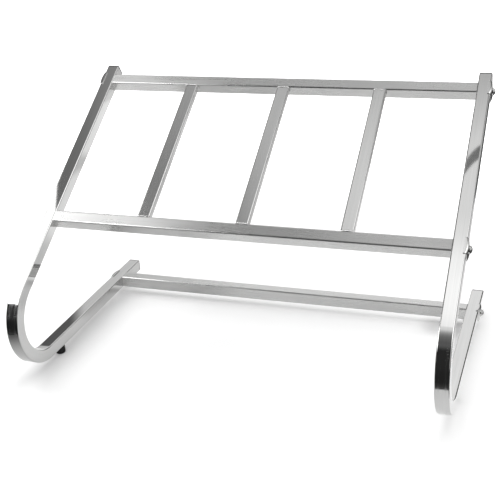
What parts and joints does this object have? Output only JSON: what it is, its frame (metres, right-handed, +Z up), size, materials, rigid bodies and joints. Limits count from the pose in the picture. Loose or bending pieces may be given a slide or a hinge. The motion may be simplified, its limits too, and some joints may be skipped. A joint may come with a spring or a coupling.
{
  "type": "gastronorm pan stand",
  "caption": "Sloped free-standing stand of bent stainless square tube, with bolted cross rails and welded dividers that hold a row of gastronorm pans.",
  "frame": {"origin": "on the surface that the stand rests on, under the middle of its outline", "axes": "+X to the right across the stand, +Y to the back where the slope is highest, +Z up"},
  "size_m": [0.7506, 0.4816, 0.4484],
  "materials": {
    "polished_tube": "polished",
    "satin_tube": "satin, brushed along the tube",
    "polished_fixings": "polished",
    "plated_steel": "plated",
    "plug_plastic": "moulded",
    "foot_rubber": "matt"
  },
  "bodies": {
    "root": {"left_side_frame": "polished_tube", "right_side_frame": "polished_tube", "top_rail": "satin_tube", "front_rail": "satin_tube", "base_rail": "satin_tube", "left_divider": "satin_tube", "centre_divider": "satin_tube", "right_divider": "satin_tube", "top_rail_inserts": "plated_steel", "front_rail_inserts": "plated_steel", "base_rail_inserts": "plated_steel", "left_saddle_washers": "polished_fixings", "right_saddle_washers": "polished_fixings", "left_bolts": "polished_fixings", "right_bolts": "polished_fixings", "left_upper_plug": "plug_plastic", "left_lower_plug": "plug_plastic", "right_upper_plug": "plug_plastic", "right_lower_plug": "plug_plastic", "front_left_foot": "foot_rubber", "front_right_foot": "foot_rubber", "rear_left_foot": "foot_rubber", "rear_right_foot": "foot_rubber", "foot_washers": "plated_steel", "foot_screws": "plated_steel", "foot_rivet_nuts": "plated_steel"}
  },
  "joints": []
}
